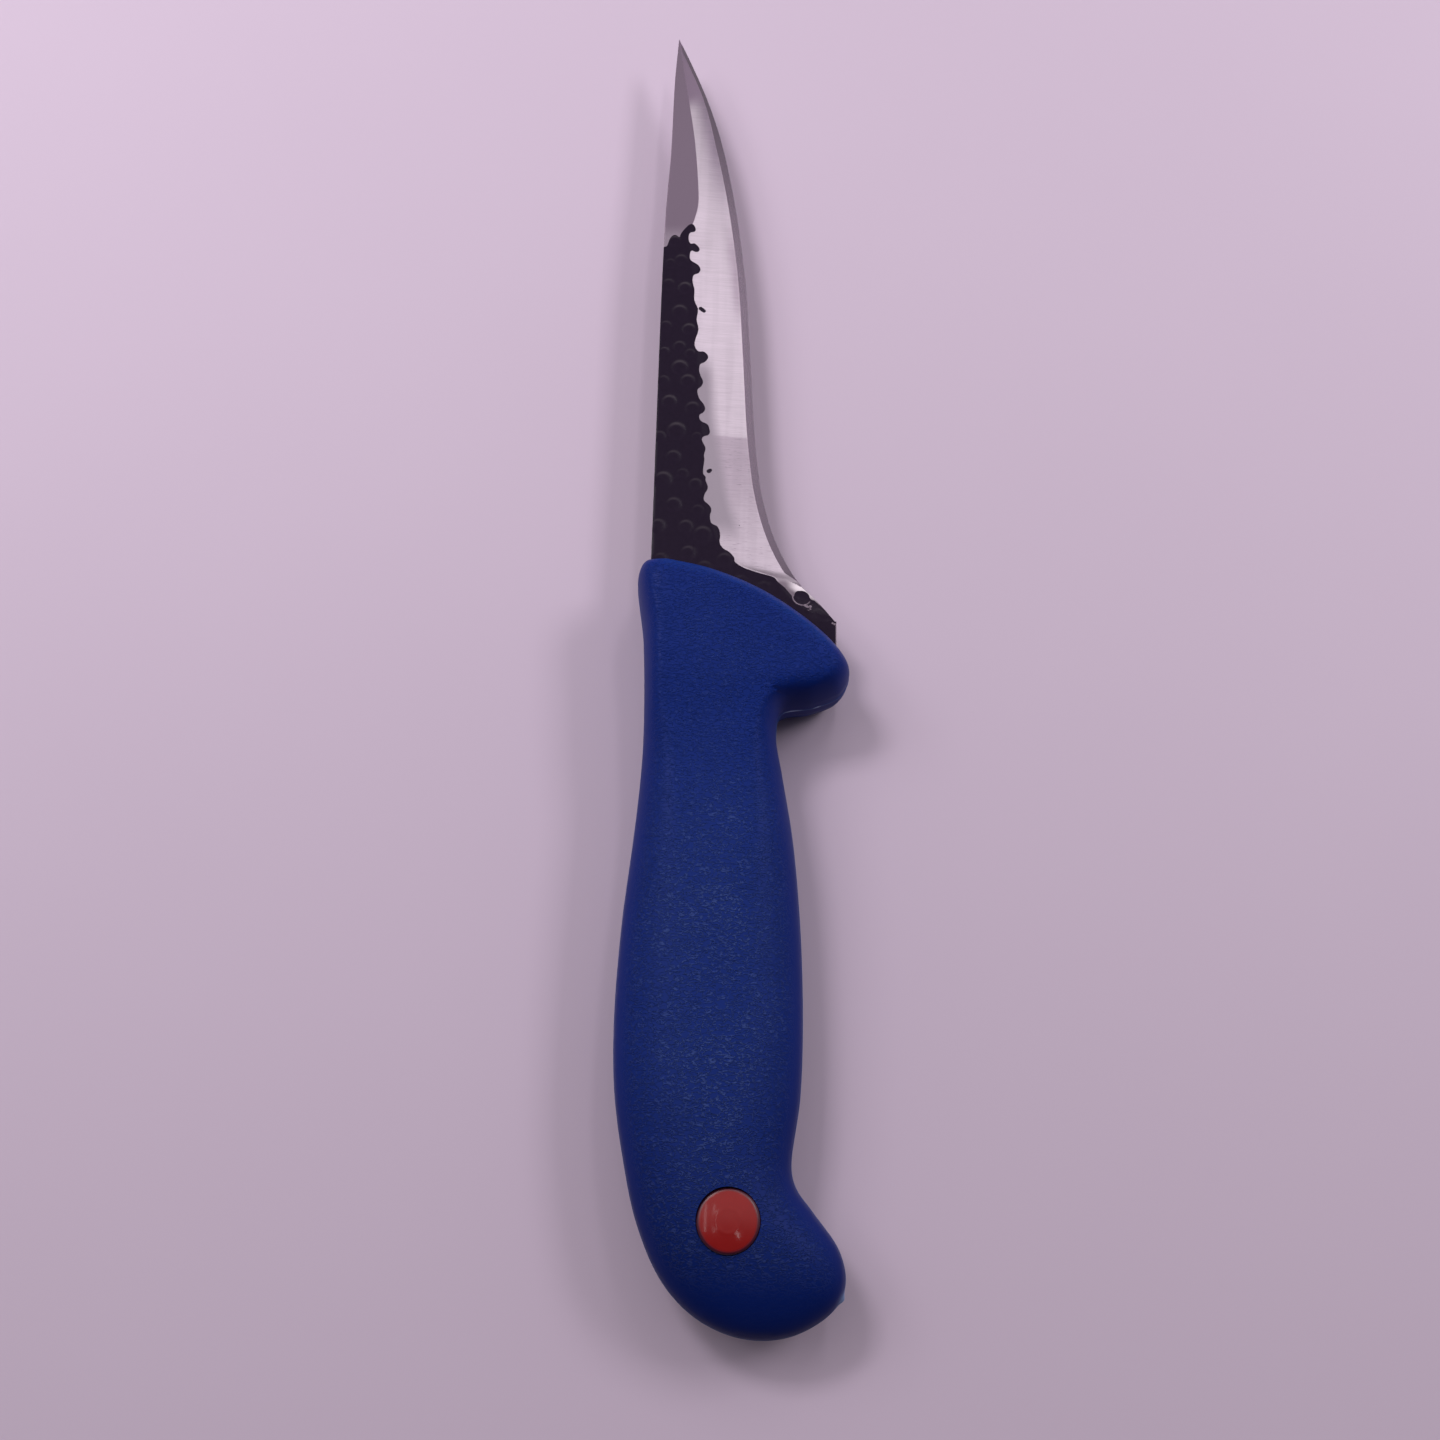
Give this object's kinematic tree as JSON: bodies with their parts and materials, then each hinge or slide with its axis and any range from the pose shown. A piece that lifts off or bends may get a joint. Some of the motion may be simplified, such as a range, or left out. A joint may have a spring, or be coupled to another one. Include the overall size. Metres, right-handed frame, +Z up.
{
  "type": "butcher knife",
  "caption": "Butcher knife: slim pointed blade with a dark textured flat and a ground bevel, in a moulded plastic handle with a finger guard, a hooked butt and a round colour plug.",
  "frame": {"origin": "under the middle of the knife's bounding box, on the surface that the knife lies on", "axes": "+Y from the butt of the handle to the tip of the blade, +X towards the cutting edge, +Z up out of the surface, square to the blade's sides"},
  "size_m": [0.0407, 0.2628, 0.019],
  "materials": {
    "blade_steel": "satin ground bevel and polished cutting strip below an unground black scale with shallow hammer marks",
    "handle_plastic": "moulded with a fine leather-like grain, smooth at the front rim and along the parting line",
    "plug_plastic": "smooth moulded, slightly shiny"
  },
  "bodies": {
    "root": {"blade": "blade_steel", "handle": "handle_plastic", "plug_head": "plug_plastic", "plug_cap": "plug_plastic"}
  },
  "joints": []
}
